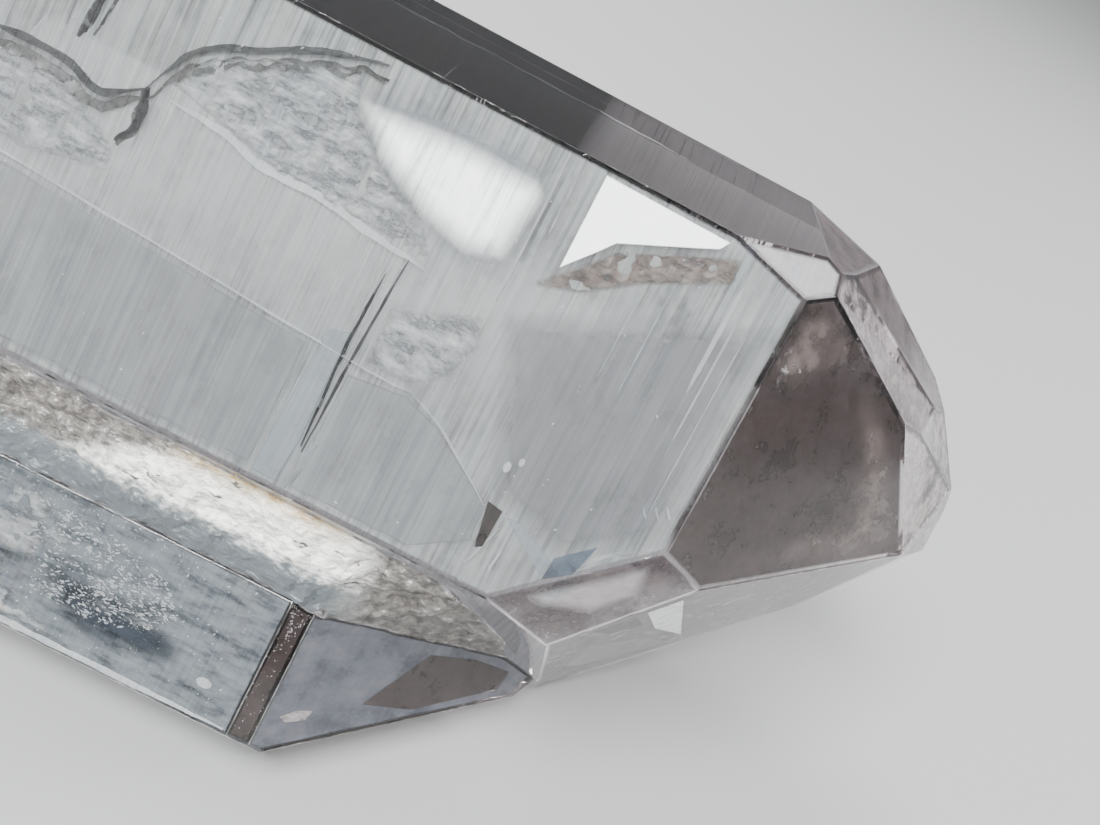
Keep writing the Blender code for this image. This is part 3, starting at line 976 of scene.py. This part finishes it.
# Lines on the front face, each a width and a path as (along, height) in mm. The bright and straight ones
# are painted highlights
BRIGHT_LINES = [
    (0.55, [(-29.5, 6.3), (-25.5, 6.0), (-22.9, 5.3), (-19.0, 5.3), (-15.5, 4.8), (-10.9, 4.3)]),
    (0.12, [(-41.5, -1.1), (-37.8, -1.3), (-24.0, -2.2), (-11.5, -3.0), (-8.4, -3.0)]),
    (0.12, [(-8.4, -3.0), (-5.6, -4.2), (-1.0, -7.3)]),
    (0.18, [(-12.5, -8.4), (-12.6, -10.2), (-12.9, -12.4)]),
    (0.10, [(-12.2, -8.8), (-12.5, -11.6)]),
    (0.14, [(-0.4, -11.3), (0.2, -9.6), (0.6, -8.2)]),
    (0.12, [(1.2, -11.5), (1.3, -10.3), (1.4, -9.2)]),
    (0.15, [(8.1, -2.5), (8.3, -2.9), (8.7, -3.3)]),
    (0.15, [(8.8, -2.2), (9.0, -2.6), (9.4, -3.0)]),
    (0.15, [(9.4, -1.9), (9.7, -2.3), (10.1, -2.7)]),
]
STRAIGHT_LINES = [
    (0.32, [(7.0, 13.0), (7.0, 9.0), (7.0, 5.0)]),
    (0.16, [(7.7, 12.6), (7.7, 6.0), (7.7, 1.0)]),
    (0.14, [(8.6, 12.0), (8.6, 4.0), (8.6, -4.0)]),
    (0.16, [(-6.2, 14.6), (-6.2, 9.0), (-6.2, 4.6)]),
    (0.12, [(-5.2, 14.6), (-5.2, 12.0), (-5.2, 9.4)]),
    (0.12, [(1.6, 9.0), (1.6, 6.0), (1.6, 3.0)]),
    (0.12, [(3.2, 9.6), (3.2, 7.0), (3.2, 2.0)]),
]
CRACK = [(-41.5, 5.4), (-39.0, 5.6), (-36.0, 5.5), (-33.6, 4.8), (-31.0, 6.3)]
ARCH = [(-31.2, 6.2), (-29.7, 9.1), (-28.2, 10.4), (-26.0, 11.4), (-23.5, 12.7), (-21.1, 13.6),
        (-18.4, 14.3)]
CRACK_BODIES = [
    (1.5, [(along, height - 0.5) for along, height in CRACK]),
    (1.3, [(along + 0.3, height - 0.5) for along, height in ARCH]),
    (1.1, [(-31.0, 6.4), (-30.6, 3.9), (-31.4, 2.3)]),
]
CRACK_RIMS = [
    (0.45, CRACK),
    (0.45, ARCH),
    (0.50, [(-31.0, 6.4), (-30.8, 3.9), (-31.6, 2.5)]),
    (0.55, [(-35.4, 12.4), (-35.7, 9.8), (-36.1, 7.1)]),
    (0.18, [(-12.2, 4.4), (-12.6, -2.0), (-12.9, -9.7)]),
    (0.18, [(-13.1, 3.0), (-13.3, -2.0), (-13.1, -9.4)]),
    (0.12, [(-34.6, 12.4), (-34.9, 9.8), (-35.3, 7.6)]),
]
# Painted highlights as lines on the top face, as (along, depth behind its front edge)
TOP_LINES = [
    (0.30, [(-31.0, 7.2), (-20.0, 7.0), (-12.0, 7.1), (-4.0, 7.0), (1.0, 6.8)]),
    (0.14, [(-31.0, 8.8), (-16.0, 8.7), (-6.0, 8.8)]),
    (0.12, [(-31.0, 10.6), (-20.0, 10.5), (-8.0, 10.7), (4.0, 10.4)]),
]


def hazes(table, outlines, looks):
    """Sheets behind whole faces."""
    for name, face, look, inset, depth, cell, wave, soft in table:
        flat_piece(name, outlines[face], FACES[face][0], looks[look], inset=inset, depth=depth,
                   cell=cell, wave=wave, soft=soft)


def glints(outlines, glint):
    """Painted glints: tiny white flakes under five faces or zones."""
    sparkling = [spot(along, height, SIDE_DEPTH) for along, height in SIDE_SPARKLE]
    specks("side_glints", 21, 3000, outlines["side"], OUTWARD, (0.08, 0.25), (0.03, 0.13), glint)
    specks("front_glints", 22, 450, outlines["front"], OUTWARD, (0.1, 0.4), (0.03, 0.12), glint, 1.3)
    specks("side_sparkle", 24, 1500, sparkling, OUTWARD, (0.05, 0.15), (0.03, 0.15), glint, 1.6, 0.6)
    specks("step_glints", 25, 150, outlines["side_step"], FACES["side_step"][0], (0.08, 0.2),
           (0.03, 0.10), glint)
    specks("tip_glints", 23, 90, outlines["tip_low"], FACES["tip_low"][0], (0.1, 0.8), (0.1, 0.5),
           glint, 1.5)


def patches(outlines, looks):
    """Zones, fractures, painted glares and glows, and small planes under the faces."""
    for name, look, depth, face, settings, outline in PATCHES:
        plane = (outlines[face][0], FACES[face][0]) if face else None
        front_patch(name, outline, looks[look], depth, plane, **settings)


def lines(side_front, looks):
    """Bright lines as painted highlights, dark cracks, and a painted highlight along the lower rim of
    the side crystal's front face.
    """
    ribbons("bright_lines", BRIGHT_LINES, looks["white"], 0.12, dive=0.2, jitter=0.08)
    ribbons("straight_lines", STRAIGHT_LINES, looks["white"], 0.12, dive=0.1)
    ribbons("fracture_body", CRACK_BODIES, looks["ash"], 0.15, dive=0.5, jitter=0.4)
    ribbons("fracture_rim", CRACK_RIMS, looks["dark"], 0.05, dive=0.3, jitter=0.06)
    top_frame = (spot(0.0, 15.05), ALONG, Vector((0.0, 1.0, 0.0)), TOP)
    ribbons("top_lines", TOP_LINES, looks["white"], 0.1, dive=0.1, jitter=0.2, frame_of=top_frame)
    low = min(local(corner)[1] for corner in side_front) + 0.3
    reach = [local(corner)[0] for corner in side_front if local(corner)[1] < low + 1.0]
    start = min(reach) + 0.4
    end = max(reach) - 0.4
    middle = 0.5 * (min(reach) + max(reach))
    side_frame = (spot(0.0, 0.0, SIDE_DEPTH), ALONG, UPWARD, OUTWARD)
    # A painted highlight along the side crystal's lower rim
    ribbons("side_rim_highlight", [(0.42, [(start, low), (middle, low), (end, low)])], looks["glint"], 0.08,
            dive=0.1, jitter=0.05, steps=40, frame_of=side_frame)


def inside():
    """Everything that shows inside the crystal: hazes, healed fractures and cracks, and painted glares,
    glints, glows and shade.
    """
    facets = cad_facets()
    looks = {look: veil_material(*settings) for look, settings in LOOKS.items()}
    outlines = {face: face_outline(facets, *place) for face, place in FACES.items()}
    facets.free()
    hazes(LARGE_HAZES, outlines, looks)
    glints(outlines, looks["glint"])
    patches(outlines, looks)
    hazes(SMALL_HAZES, outlines, looks)
    lines(outlines["side"], looks)


place_camera()
light_paths()
studio()
crystal_surface()
inside()
